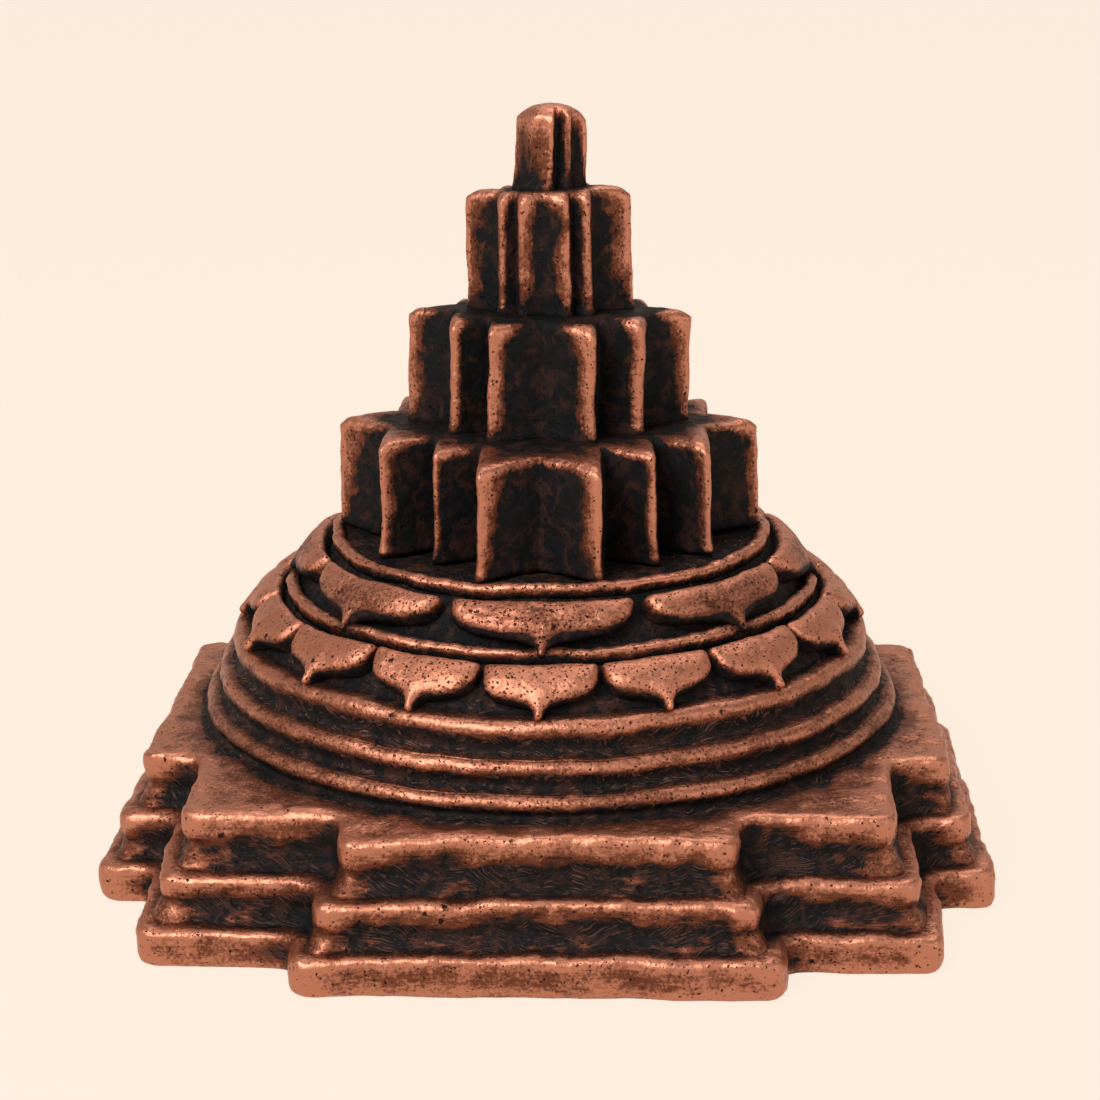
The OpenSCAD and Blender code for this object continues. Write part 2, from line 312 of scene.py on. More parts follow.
def millimetres_of(tree):
    """The place of a point on its piece, in millimetres."""
    place = put(tree, "TexCoord").outputs["Object"]
    return put(tree, "VectorMath", {"operation": "SCALE"}, Vector=place, Scale=1 / MM).outputs[0]


RING_MM = 26.0
SWAY_MM = 2.4
SWAY_SCALE = 0.3
STROKE_PATCH_SCALE = 0.5
STROKES_ALONG = 0.5
STROKES_ACROSS = 7.0
STROKE_EDGE = (0.51, 0.63)
STROKE_FAMILIES = ((4.4, (0.5, 0.58)), (-2.6, (0.5, 0.42)))


def brush_strokes(tree, spot):
    """Fine strokes of the wire brush: two families round the stack, each with its slant and patches."""
    axes = put(tree, "SeparateXYZ", Vector=spot).outputs
    level_spot = put(tree, "CombineXYZ", X=axes["X"], Y=axes["Y"]).outputs[0]
    radius = put(tree, "VectorMath", {"operation": "LENGTH"}, Vector=level_spot).outputs["Value"]
    turn = math_of(tree, "ARCTAN2", axes["X"], math_of(tree, "MULTIPLY", axes["Y"], -1.0))
    around = math_of(tree, "MULTIPLY", turn, RING_MM)
    sway = math_of(tree, "MULTIPLY", noise_of(tree, spot, SWAY_SCALE, detail=2.0), SWAY_MM)
    outward = math_of(tree, "ADD", math_of(tree, "SUBTRACT", radius, axes["Z"]), sway)
    patch = noise_of(tree, spot, STROKE_PATCH_SCALE, detail=4.0, roughness=0.6)
    families = []
    for slant, patch_edge in STROKE_FAMILIES:
        lean = math_of(tree, "MULTIPLY", outward, slant * STROKES_ALONG / STROKES_ACROSS)
        along = math_of(tree, "ADD", math_of(tree, "MULTIPLY", around, STROKES_ALONG), lean)
        drop = math_of(tree, "MULTIPLY", around, slant)
        across = math_of(tree, "SUBTRACT", math_of(tree, "MULTIPLY", outward, STROKES_ACROSS), drop)
        flow = put(tree, "CombineXYZ", X=along, Y=across).outputs[0]
        hair = noise_of(tree, flow, 1.0, detail=3.0, roughness=0.65)
        stroke = ramp_of(tree, hair, *STROKE_EDGE)
        families.append(math_of(tree, "MULTIPLY", stroke, ramp_of(tree, patch, *patch_edge)))
    return math_of(tree, "MAXIMUM", *families)


PIT_SPREAD = 0.6
PIT_EDGE = (0.6, 1.15)


def casting_pits(tree, spot, spacing, radius, share, patch):
    """Small holes that gas left in the casting: how deep each point lies in one, from 0 to 1.
    Spacing and the largest radius are in millimetres, and share is how many of the holes opened up."""
    cell = put(tree, "TexVoronoi", Vector=spot, Scale=1 / spacing, Randomness=1.0)
    chance = put(tree, "SeparateColor", Color=cell.outputs["Color"]).outputs
    span = radius / spacing / (1 + PIT_SPREAD)
    reach = math_of(tree, "MULTIPLY", math_of(tree, "ADD", chance[1], PIT_SPREAD), span)
    depth = ramp_of(tree, math_of(tree, "DIVIDE", cell.outputs["Distance"], reach), *PIT_EDGE, 1.0, 0.0)
    odds = math_of(tree, "ADD", chance[0], patch)
    opened = math_of(tree, "GREATER_THAN", odds, 1 + NOISE_MIDDLE - share)
    return math_of(tree, "MULTIPLY", depth, opened)


BLACK_PATINA = (0.0075, 0.0076, 0.0082, 1)
SMOKED_BROWN = (0.034, 0.0155, 0.0125, 1)
BROWN_OXIDE = (0.075, 0.026, 0.0165, 1)
RUBBED_COPPER = (0.158, 0.053, 0.03, 1)
BRIGHT_COPPER = (0.53, 0.214, 0.132, 1)
SCRATCHED_COPPER = (0.32, 0.15, 0.115, 1)
PATINA_GLOSS = 0.06
PATINA_ROUGHNESS = 0.5
GRAIN_ROUGHNESS = 0.16
SMOKE_BORDER = (0.45, 0.69)
OXIDE_BORDER = (-0.14, -0.05)
COPPER_BORDER = (-0.01, 0.05)
SHINE_BORDER = (0.14, 0.84)
METAL_BORDER = (-0.14, 0.02)
SMOOTH_BORDER = (-0.1, 0.6)
STROKE_TOP = (0.3, 0.1)
STROKE_BOTTOM = (-0.95, -0.45)
CLOUD_SCALE = 0.24
STAIN_SCALE = 1.1
GRAIN_SCALE = 3.2
SMOKE_SCALE = 0.55
DIMPLE_SCALE = 1.9
LEVEL_STAINS = (0.38, 0.38, 1.5)
LEVEL_DASHES = (0.7, 0.7, 5.0)
STAIN_SWING = 1.3
SHINE_SWING = 1.9
SMALL_PIT_SPACING = 0.32
SMALL_PIT_R = 0.12
LARGE_PIT_SPACING = 1.7
LARGE_PIT_R = 0.32
LARGE_PIT_SHARE = 0.4
PIT_SHAKE = (0.4, 0.4, 0.4)
PIT_SHAKE_SCALE = 4.0
PIT_DARKNESS = 0.92
SKIN_RELIEF = 0.12 * MM
GRAIN_RELIEF = 0.2
DIMPLE_RELIEF = 0.8
STROKE_RELIEF = 0.15


def antique_copper(
    name, rub=0.0, strokes=0.0, pitting=0.4, roughness=0.36, stains=LEVEL_STAINS, dashes=0.6, clouds=0.9
):
    """Darkened copper alloy that was rubbed back: bright on what stands out, black in the hollows.
    It reads the wear of each point, which also holds painted light: upward faces lighter, walls darker,
    and painted shade on the lower petal flanks. Rub is how much more or less this piece was rubbed,
    strokes is how strongly the brush shows in its hollows, pitting is the share of pits that are open,
    roughness is that of the bright metal, stains are drawn out along the axes with the smallest figures,
    dashes is how strongly level dashes break up the borders on the walls, and clouds how far the borders
    wander."""
    material = bpy.data.materials.new(name)
    material.use_nodes = True
    tree = material.node_tree
    shader = tree.nodes["Principled BSDF"]
    shader.inputs["Specular IOR Level"].default_value = PATINA_GLOSS
    spot = millimetres_of(tree)
    # Wear of each point with painted light in it: upward faces lighter, walls darker, lower petal flanks
    # in painted shade.
    wear_and_painted_light = put(tree, "Attribute", {"attribute_name": "wear_and_painted_light"}).outputs["Fac"]
    cloud = noise_of(tree, spot, CLOUD_SCALE, detail=4.0, roughness=0.6)
    stain = noise_of(tree, drawn_of(tree, spot, stains), STAIN_SCALE, detail=8.0, roughness=0.72)
    dash = noise_of(tree, drawn_of(tree, spot, LEVEL_DASHES), 1.0, detail=4.0, roughness=0.6)
    grain = noise_of(tree, spot, GRAIN_SCALE, detail=5.0, roughness=0.7)
    edges = math_of(tree, "ADD", swing_of(tree, stain, STAIN_SWING), swing_of(tree, dash, dashes))
    uneven = math_of(tree, "ADD", swing_of(tree, cloud, clouds), edges)
    rubbed_and_painted_light = math_of(tree, "ADD", wear_and_painted_light, math_of(tree, "ADD", uneven, rub))

    smoke = noise_of(tree, spot, SMOKE_SCALE, detail=5.0, roughness=0.6, distortion=1.2)
    colour = blend_of(tree, ramp_of(tree, smoke, *SMOKE_BORDER), BLACK_PATINA, SMOKED_BROWN)
    colour = blend_of(tree, ramp_of(tree, rubbed_and_painted_light, *OXIDE_BORDER), colour, BROWN_OXIDE)
    colour = blend_of(tree, ramp_of(tree, rubbed_and_painted_light, *COPPER_BORDER), colour, RUBBED_COPPER)
    shine = math_of(tree, "ADD", rubbed_and_painted_light, swing_of(tree, grain, SHINE_SWING))
    colour = blend_of(tree, ramp_of(tree, shine, *SHINE_BORDER), colour, BRIGHT_COPPER)

    in_hollow = ramp_of(tree, rubbed_and_painted_light, *STROKE_TOP)
    not_deep = ramp_of(tree, rubbed_and_painted_light, *STROKE_BOTTOM)
    stroke = math_of(tree, "MULTIPLY", brush_strokes(tree, spot), strokes)
    stroke = math_of(tree, "MULTIPLY", stroke, math_of(tree, "MULTIPLY", in_hollow, not_deep))
    colour = blend_of(tree, stroke, colour, SCRATCHED_COPPER)

    shake = put(tree, "TexNoise", Vector=spot, Scale=PIT_SHAKE_SCALE, Detail=2.0).outputs["Color"]
    shaken = put(
        tree, "VectorMath", {"operation": "MULTIPLY_ADD"}, i0=shake, i1=PIT_SHAKE, i2=spot
    ).outputs[0]
    small_pits = casting_pits(tree, shaken, SMALL_PIT_SPACING, SMALL_PIT_R, pitting, cloud)
    large_share = LARGE_PIT_SHARE * pitting
    large_pits = casting_pits(tree, shaken, LARGE_PIT_SPACING, LARGE_PIT_R, large_share, cloud)
    pit = math_of(tree, "MAXIMUM", small_pits, large_pits)
    colour = blend_of(tree, math_of(tree, "MULTIPLY", pit, PIT_DARKNESS), colour, BLACK_PATINA)
    tree.links.new(colour, shader.inputs["Base Color"])

    metal = math_of(tree, "MAXIMUM", ramp_of(tree, rubbed_and_painted_light, *METAL_BORDER), stroke)
    tree.links.new(metal, shader.inputs["Metallic"])
    smooth = ramp_of(tree, rubbed_and_painted_light, *SMOOTH_BORDER, PATINA_ROUGHNESS, roughness)
    rough = math_of(tree, "ADD", smooth, math_of(tree, "MULTIPLY", grain, GRAIN_ROUGHNESS))
    tree.links.new(rough, shader.inputs["Roughness"])

    dimples = noise_of(tree, spot, DIMPLE_SCALE, detail=2.5, roughness=0.55)
    dimples = math_of(tree, "MULTIPLY", dimples, DIMPLE_RELIEF)
    relief = math_of(tree, "ADD", math_of(tree, "MULTIPLY", grain, GRAIN_RELIEF), dimples)
    relief = math_of(tree, "ADD", relief, math_of(tree, "MULTIPLY", stroke, STROKE_RELIEF))
    relief = math_of(tree, "SUBTRACT", relief, pit)
    bump = put(tree, "Bump", Strength=1.0, Distance=SKIN_RELIEF, Height=relief)
    tree.links.new(bump.outputs[0], shader.inputs["Normal"])
    return material


terrace_copper = antique_copper("terrace_copper", rub=0.09, strokes=0.25, pitting=0.3)


def fit_copper(piece, node, material):
    """Finishes a cast piece, and puts it in the place of its solid."""
    piece.data.materials.clear()
    piece.data.materials.append(material)
    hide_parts(node)
    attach(piece, "root")


CREST_OUT = 0.22 * MM
LOWER_SLABS = [(0.0, 0.0, 1.0), (CREST_OUT, 0.1, 0.92)]
lower_low, lower_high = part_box("bhupura_lower")
lower = terrace_block(
    "bhupura_lower",
    LOWER_SLABS,
    [(HOLLOW_HALF, lower_low.z - MM, lower_high.z + MM)],
    [
        (SCREW_HOLE_R, lower_low.z - MM, lower_high.z + MM),
        (SCREW_HEAD_HOLE_R, lower_low.z - MM, lower_low.z + SCREW_HEAD_DEPTH),
    ],
)
cast_surface(lower, TERRACE_GRAIN, TERRACE_MELTS, TERRACE_WOBBLE, TERRACE_SWELL, foot=lower_low.z)
fit_copper(lower, "bhupura_lower", terrace_copper)

# Middle terrace: the same frame drawn in all round, cast in copper alloy.
# It lies on the lowest terrace, held by the same four screws, and has a full crest and a small foot.
FOOT_OUT = 0.9 * MM
COVE_OUT = 0.35 * MM
SLAB_SINK = -0.12
TERRACE_SLABS = [
    (FOOT_OUT, SLAB_SINK, 0.04),
    (COVE_OUT, SLAB_SINK, 0.24),
    (0.0, SLAB_SINK, 1.0),
    (CREST_OUT, 0.5, 0.93),
]
middle_low, middle_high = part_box("bhupura_middle")
middle = terrace_block(
    "bhupura_middle",
    TERRACE_SLABS,
    [(HOLLOW_HALF, middle_low.z - MM, middle_high.z + MM)],
    [(SCREW_HOLE_R, middle_low.z - MM, middle_high.z + MM)],
)
cast_surface(middle, TERRACE_GRAIN, TERRACE_MELTS, TERRACE_WOBBLE, TERRACE_SWELL)
fit_copper(middle, "bhupura_middle", terrace_copper)

# Highest terrace: the smallest of the three squares, a full plate of cast copper alloy.
# The stack of tiers is clamped to it from below, through the square hole in its middle.
BAR_HOLE_HALF = 1.6 * MM
SCREW_TAP_R = 1.03 * MM
SCREW_TAP_DEPTH = 2.8 * MM
upper_low, upper_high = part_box("bhupura_upper")
upper = terrace_block(
    "bhupura_upper",
    TERRACE_SLABS,
    [(BAR_HOLE_HALF, upper_low.z - MM, upper_high.z + MM), (HOLLOW_HALF, upper_low.z - MM, upper_low.z)],
    [(SCREW_TAP_R, upper_low.z - MM, upper_low.z + SCREW_TAP_DEPTH)],
)
cast_surface(upper, TERRACE_GRAIN, TERRACE_MELTS, TERRACE_WOBBLE, TERRACE_SWELL, foot=upper_low.z)
fit_copper(upper, "bhupura_upper", terrace_copper)

# Three girdles: round steps of cast copper alloy, each drawn in from the one below.
# They were turned in the pattern, so each has a full round crest and a hollow foot on its tread.
TURN_STEPS = 480
ARC_STEPS = 6
BELLY_STEPS = 4
TREAD_RINGS = (1.5, 2, 2.5, 3, 4)
GIRDLE_CREST = 0.9 * MM
GIRDLE_FLARE = 0.6 * MM
GIRDLE_WAIST = 0.42 * MM
GIRDLE_WAIST_SHARE = 0.24
ROOT_DEPTH = 0.4 * MM
INNER_RIM = 4.0 * MM


def shares(steps):
    """Even shares from just above 0 to 1."""
    return [(step + 1) / steps for step in range(steps)]


def turned(node, profile):
    """Turns a solid from a profile of (radius, height) that runs from its underside to its top."""
    radius, height = profile[0]
    bpy.ops.object.select_all(action="DESELECT")
    bpy.ops.mesh.primitive_circle_add(
        vertices=TURN_STEPS, radius=radius, fill_type="NGON", location=(0, 0, height)
    )
    piece = bpy.context.object
    piece.name = node + "_cast"
    bpy.ops.object.transform_apply(location=True)
    bpy.ops.object.mode_set(mode="EDIT")
    bpy.ops.mesh.select_all(action="SELECT")
    for next_radius, next_height in profile[1:]:
        bpy.ops.mesh.extrude_region_move(
            TRANSFORM_OT_translate={"value": (0, 0, next_height - height)}
        )
        share = next_radius / radius
        bpy.ops.transform.resize(value=(share, share, 1), center_override=(0, 0, next_height))
        radius, height = next_radius, next_height
    bpy.ops.mesh.select_all(action="SELECT")
    bpy.ops.mesh.normals_make_consistent(inside=False)
    bpy.ops.object.mode_set(mode="OBJECT")
    low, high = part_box(node)
    cut_box(piece, BAR_HOLE_HALF, low.z - MM, high.z + MM)
    return piece


def girdle_profile(node):
    """Section of a girdle: a flared foot, a hollow waist, a full round crest and a flat tread."""
    low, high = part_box(node)
    edge, foot, top = high.x, low.z, high.z
    waist = (top - foot) * GIRDLE_WAIST_SHARE
    shoulder = top - GIRDLE_CREST
    hollow = [
        (edge - GIRDLE_WAIST + (GIRDLE_FLARE + GIRDLE_WAIST) * (1 - math.sin(share * math.pi / 2)),
         foot + waist * (1 - math.cos(share * math.pi / 2)))
        for share in shares(ARC_STEPS)
    ]
    belly = [
        (edge - GIRDLE_WAIST * (1 + math.cos(share * math.pi)) / 2,
         foot + waist + (shoulder - foot - waist) * share)
        for share in shares(BELLY_STEPS)
    ]
    crest = [
        (edge - GIRDLE_CREST * (1 - math.cos(share * math.pi / 2)),
         shoulder + GIRDLE_CREST * math.sin(share * math.pi / 2))
        for share in shares(ARC_STEPS)
    ]
    tread = [(edge - GIRDLE_CREST * ring, top) for ring in TREAD_RINGS]
    root = [(edge + GIRDLE_FLARE, foot - ROOT_DEPTH), (edge + GIRDLE_FLARE, foot)]
    return root + hollow + belly + crest + tread + [(INNER_RIM, top)]


girdle_copper = antique_copper("girdle_copper", rub=-0.12, strokes=0.5, pitting=0.4)
for node in ("girdle_lower", "girdle_middle", "girdle_upper"):
    girdle = turned(node, girdle_profile(node))
    cast_surface(girdle, None, 0)
    fit_copper(girdle, node, girdle_copper)

# Outer lotus course: a cone ring of cast copper alloy that carries the sixteen petals.
# Little of it shows: only the dark joints between the petals and the step under their lower edge.
OUTER_TOP_R = 23.1 * MM
ROOT_DRAW = 0.2 * MM
EDGE_EASE = 0.1 * MM
CONE_STEPS = 8
course_copper = antique_copper("course_copper", rub=-0.3, strokes=0.5)


def course_profile(node, top_radius, rim=()):
    """Section of a petal course: the section of its rim, where it has one, and then a plain cone."""
    low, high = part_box(node)
    start = [(high.x - ROOT_DRAW, low.z - ROOT_DEPTH), (high.x, low.z + EDGE_EASE), *rim]
    foot_radius, foot = start[-1]
    cone = [
        (foot_radius + (top_radius - foot_radius) * share, foot + (high.z - foot) * share)
        for share in shares(CONE_STEPS)
    ]
    return start + cone + [(INNER_RIM, high.z)]


outer_course = turned("outer_lotus_course", course_profile("outer_lotus_course", OUTER_TOP_R))
cast_surface(outer_course, None, 0)
fit_copper(outer_course, "outer_lotus_course", course_copper)

# Outer petals: sixteen pillow-shaped lotus petals of cast copper alloy, laid on the course.
# Each ends in two lobes and a thin keel that runs down to the tread below; the tops are rubbed bright.
PETAL_THICK = 1.4 * MM
PETAL_SINK = 0.75 * MM
PETAL_RISE = 0.55 * MM
PETAL_RIM = 1.35 * MM
PETAL_GRAIN = 0.15 * MM
PETAL_MELTS = 10
KEEL_HALF = 0.5 * MM
KEEL_RISE = 0.22 * MM
KEEL_START = 0.5
KEEL_CLEAR = 0.8 * MM
# Painted shade: the lower flanks of each petal, beside the keel, are painted darker, as well as holding
# their patina.
FLANK_WIDTH = 0.75 * MM
FLANK_SHADE = 0.85
FLANK_START = 0.45
FLANK_RAMP = 0.2
PETAL_SHAPE = [
    (0.95, 0.02), (1.0, 0.12), (0.98, 0.46), (0.91, 0.68), (0.76, 0.84),
    (0.53, 0.93), (0.32, 1.0), (0.16, 1.07), (0.09, 1.16),
]
KEEL_SHAPE = [(0.8, 0.55), (0.55, 1.0)]


def petal_outline(half, body, tip):
    """Half of a petal laid flat, as (across, down) from the middle of its root to its point."""
    keel = [(across * KEEL_HALF, body + down * tip) for across, down in KEEL_SHAPE]
    return [(0, 0)] + [(across * half, down * body) for across, down in PETAL_SHAPE] + keel


def note_shelter_and_painted_shade(piece, values):
    """Notes how much less (or more, below 0) each point was reached by the rubbing, plus painted shade on
    petal flanks.
    """
    shelter_and_painted_shade = piece.data.attributes.new("shelter_and_painted_shade", "FLOAT", "POINT")
    shelter_and_painted_shade.data.foreach_set("value", values.astype(np.float32))


def swell_petal(piece, outline, body):
    """Raises the upper side of a flat petal into a pillow that rounds down to its outline.
    Its lower flanks, on both sides of the keel, are painted darker: partly patina out of reach of the
    rubbing, partly painted shade under the rounded rim."""
    points = read_points(piece)
    starts = np.array(outline)
    sides = np.roll(starts, -1, 0) - starts
    away = points[:, None, :2] - starts
    share = np.clip((away * sides).sum(2) / (sides * sides).sum(1), 0, 1)
    inside = np.linalg.norm(away - share[..., None] * sides, axis=2).min(1)
    round_up = np.sqrt(1 - (1 - np.clip(inside / PETAL_RIM, 0, 1)) ** 2)
    upper_side = np.clip((points[:, 2] + PETAL_SINK) / PETAL_THICK, 0, 1)
    lower_part = np.clip((-points[:, 1] / body - FLANK_START) / FLANK_RAMP, 0, 1)
    flank = np.clip(1 - inside / FLANK_WIDTH, 0, 1) * lower_part
    beside_keel = 1 - np.exp(-((points[:, 0] / KEEL_CLEAR) ** 2))
    # Painted shade on the lower flanks beside the keel, as well as the patina the rubbing left there.
    note_shelter_and_painted_shade(piece, FLANK_SHADE * flank * beside_keel)
    points[:, 2] += PETAL_RISE * round_up * upper_side
    move_points(piece, points)


def flat_petal(name, half, body, tip):
    """Models one petal flat: its outline, raised to its thickness, rounded and fused."""
    outline = petal_outline(half, body, tip)
    bpy.ops.object.select_all(action="DESELECT")
    bpy.ops.mesh.primitive_circle_add(vertices=2 * len(outline) - 1, radius=half, fill_type="NGON")
    piece = bpy.context.object
    piece.name = name
    around = outline[1:] + [(-across, down) for across, down in reversed(outline[1:])]
    bpy.ops.object.mode_set(mode="EDIT")
    mesh = bmesh.from_edit_mesh(piece.data)
    for corner, (across, down) in zip(mesh.verts, [(0, 0)] + around):
        corner.co = (across, -down, -PETAL_SINK)
    bmesh.update_edit_mesh(piece.data)
    bpy.ops.mesh.select_all(action="SELECT")
    bpy.ops.mesh.extrude_region_move(TRANSFORM_OT_translate={"value": (0, 0, PETAL_THICK)})
    bpy.ops.mesh.select_all(action="SELECT")
    bpy.ops.mesh.normals_make_consistent(inside=False)
    bpy.ops.object.mode_set(mode="OBJECT")
    fuse(piece, PETAL_GRAIN)
    swell_petal(piece, [(across, -down) for across, down in [(0, 0)] + around], body)
    melt(piece, PETAL_MELTS)
    return piece


def wrap_petal(piece, turn, root, slopes, body, tip_slope):
    """Lays a flat petal on its course: over a curve that steepens from root to edge, round the axis."""
    across, down, raised = read_points(piece).T
    down = -down
    bend = body / (slopes[1] - slopes[0])
    on_body = np.clip(down, 0, body)
    slope = slopes[0] + on_body / bend
    past = down - on_body
    run = np.where(past > 0, tip_slope, slopes[0])
    radius = root[0] + bend * (np.sin(slope) - math.sin(slopes[0])) + past * np.cos(run)
    height = root[1] - bend * (math.cos(slopes[0]) - np.cos(slope)) - past * np.sin(run)
    keel = KEEL_RISE * np.exp(-((across / (2 * KEEL_HALF)) ** 2))
    keel *= np.clip((down / body - KEEL_START) / (1 - KEEL_START), 0, 1)
    lift = raised + np.where(raised > 0, keel, 0)
    radius += lift * np.sin(slope)
    height += lift * np.cos(slope)
    angle = turn + across / radius
    move_points(piece, np.stack([radius * np.sin(angle), -radius * np.cos(angle), height], 1))


def petal_row(pattern, node_names, copper, **lay):
    """Copies a flat petal for every place in a row, and lays each copy on the course."""
    for index, node in enumerate(node_names):
        piece = pattern.copy()
        piece.data = pattern.data.copy()
        piece.name = node + "_cast"
        bpy.context.scene.collection.objects.link(piece)
        wrap_petal(piece, index * math.tau / len(node_names), **lay)
        cast_surface(piece, None, 0)
        fit_copper(piece, node, copper)
    bpy.data.objects.remove(pattern)


OUTER_HALF = 4.75 * MM
OUTER_BODY = 3.4 * MM
OUTER_TIP = 1.4 * MM
OUTER_ROOT_OUT = 0.9 * MM
OUTER_ROOT_DOWN = 0.42 * MM
OUTER_SLOPES = (math.radians(24), math.radians(56))
TIP_SLOPE = math.radians(46)
outer_petal_copper = antique_copper(
    "outer_petal_copper", rub=0.28, pitting=1.0, roughness=0.41, dashes=0.0
)
outer_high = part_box("outer_lotus_course")[1]
outer_pattern = flat_petal("outer_pattern", OUTER_HALF, OUTER_BODY, OUTER_TIP)
petal_row(
    outer_pattern,
    ["outer_petal_%02d" % number for number in range(1, 17)],
    outer_petal_copper,
    root=(OUTER_TOP_R + OUTER_ROOT_OUT, outer_high.z - OUTER_ROOT_DOWN),
    slopes=OUTER_SLOPES,
    body=OUTER_BODY,
    tip_slope=TIP_SLOPE,
)

# Inner lotus course: a second cone ring with a lip at its foot, which covers the roots of the outer row.
# It is cast in copper alloy; its lip shows all round as a thin worn line between the two rows.
LIP_THICK = 0.8 * MM
LIP_LEDGE = 1.6 * MM
INNER_TOP_R = 18.9 * MM
RIM_OUT = 0.05 * MM
RIM_WIDTH = 1.0 * MM
BEAD_R = 0.58 * MM
BEAD_RISE = 0.4 * MM
BEAD_STEPS = 8
BEAD_WOBBLE = 0.5 * MM
BEAD_SWELL = 0.34 * MM
lip_copper = antique_copper("lip_copper", pitting=1.0, clouds=1.8)


def beaded_rim(edge, level, ledge):
    """Section of a rim: the worn bead that runs round it, and the ledge behind the bead."""
    outside = edge + RIM_OUT
    bead = [
        (outside - BEAD_R * (1 - math.cos(share * math.pi)), level + BEAD_RISE * math.sin(share * math.pi))
        for share in shares(BEAD_STEPS)
    ]
    return [(outside, level), *bead, (edge - ledge, level)]


def shade_rim(piece, edge, rim, ledge):
    """Notes that a turned piece was rubbed bright at its rim, and that its ledge stayed dark."""
    radius = np.linalg.norm(read_points(piece)[:, :2], axis=1)
    note_shelter_and_painted_shade(piece, np.where(radius > edge - RIM_WIDTH, -rim, ledge))


inner_low, inner_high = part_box("inner_lotus_course")
lip_rim = beaded_rim(inner_high.x, inner_low.z + LIP_THICK - EDGE_EASE, LIP_LEDGE)
inner_course = turned(
    "inner_lotus_course", course_profile("inner_lotus_course", INNER_TOP_R, lip_rim)
)
shade_rim(inner_course, inner_high.x, rim=0.36, ledge=0.26)
cast_surface(inner_course, None, 0, BEAD_WOBBLE, BEAD_SWELL)
fit_copper(inner_course, "inner_lotus_course", lip_copper)

# Inner petals: eight wider petals of the same make on the inner course, one at the front.
# They stand steeper than the outer row, and their keels reach the lip.
INNER_HALF = 7.6 * MM
INNER_BODY = 3.3 * MM
INNER_TIP = 1.6 * MM
INNER_ROOT_OUT = 1.05 * MM
INNER_ROOT_DOWN = 0.6 * MM
INNER_SLOPES = (math.radians(33), math.radians(62))
inner_petal_copper = antique_copper(
    "inner_petal_copper", rub=-0.14, pitting=1.0, roughness=0.41, dashes=0.0
)
inner_pattern = flat_petal("inner_pattern", INNER_HALF, INNER_BODY, INNER_TIP)
petal_row(
    inner_pattern,
    ["inner_petal_%d" % number for number in range(1, 9)],
    inner_petal_copper,
    root=(INNER_TOP_R + INNER_ROOT_OUT, inner_high.z - INNER_ROOT_DOWN),
    slopes=INNER_SLOPES,
    body=INNER_BODY,
    tip_slope=TIP_SLOPE,
)

# Star plinth: a thin round plate of cast copper alloy under the star tiers.
# It covers the roots of the inner petals and shows as one worn rim.
PLINTH_DRAW = 0.3 * MM
PLINTH_EASE = 0.25 * MM
PLINTH_LEDGE = 1.5 * MM
PLINTH_LEDGE_DOWN = 0.2 * MM
plinth_copper = antique_copper("plinth_copper", strokes=0.3, pitting=1.0, clouds=1.8)
plinth_low, plinth_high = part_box("star_plinth")
plinth_edge = plinth_high.x
plinth_level = plinth_high.z - PLINTH_LEDGE_DOWN
plinth = turned("star_plinth", [
    (plinth_edge - PLINTH_DRAW, plinth_low.z - ROOT_DEPTH),
    (plinth_edge, plinth_low.z + PLINTH_EASE),
    *beaded_rim(plinth_edge, plinth_level, PLINTH_LEDGE),
    (INNER_RIM, plinth_level),
])
shade_rim(plinth, plinth_edge, rim=0.12, ledge=0.45)
cast_surface(plinth, None, 0, BEAD_WOBBLE, BEAD_SWELL)
fit_copper(plinth, "star_plinth", plinth_copper)

# Star tiers: three prisms of cast copper alloy, whose corners come from the nine crossed triangles.
# They are keyed on the square bar and clamped; edges are worn bright, inner corners stay black.
STAR_GRAIN = 0.22 * MM
STAR_MELTS = 14
STAR_LAST_MELTS = 3
STAR_GROWTH = 0.2 * MM
ROOT_FLARE = 0.35 * MM
ROOT_HEIGHT = 1.3 * MM
SHELTER_START = 0.5 * MM
SHELTER_FULL = 2.0 * MM
SHOULDER = 1.0 * MM
UPRIGHT_STAINS = (1.1, 1.1, 0.55)
star_copper = antique_copper("star_copper", rub=0.17, stains=UPRIGHT_STAINS, dashes=0.0, clouds=1.7)
upper_star_copper = antique_copper(
    "upper_star_copper", rub=0.02, stains=UPRIGHT_STAINS, dashes=0.0, clouds=1.7
)


def cast_copy(node, grain):
    """Starts a piece from a merged copy of its solid, fused to the grain of the casting."""
    bpy.ops.object.select_all(action="DESELECT")
    piece = bpy.data.objects.new(node + "_cast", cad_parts[node].data.copy())
    bpy.context.scene.collection.objects.link(piece)
    piece.select_set(True)
    bpy.context.view_layer.objects.active = piece
    bpy.ops.object.mode_set(mode="EDIT")
    bpy.ops.mesh.select_all(action="SELECT")
    bpy.ops.mesh.remove_doubles(threshold=SMALLEST)
    bpy.ops.object.mode_set(mode="OBJECT")
    fuse(piece, grain)
    return piece


def spread_foot(piece, foot):
    """Spreads the foot of a tier into the small fillet where it meets the ledge."""
    points, normals = read_points(piece), read_points(piece, "normal")
    share = np.clip(1 - (points[:, 2:] - foot) / ROOT_HEIGHT, 0, 1)
    points[:, :2] += normals[:, :2] * ROOT_FLARE * share ** 2
    move_points(piece, points)


def behind_corners(plan):
    """How far each point of a plan lies behind the line that runs from corner to corner round it."""
    ring = plan[geometry.convex_hull_2d([Vector(point) for point in plan])]
    sides = np.roll(ring, -1, 0) - ring
    outward = np.stack([sides[:, 1], -sides[:, 0]], 1) / np.linalg.norm(sides, axis=1)[:, None]
    return ((ring * outward).sum(1) - plan @ outward.T).min(1)


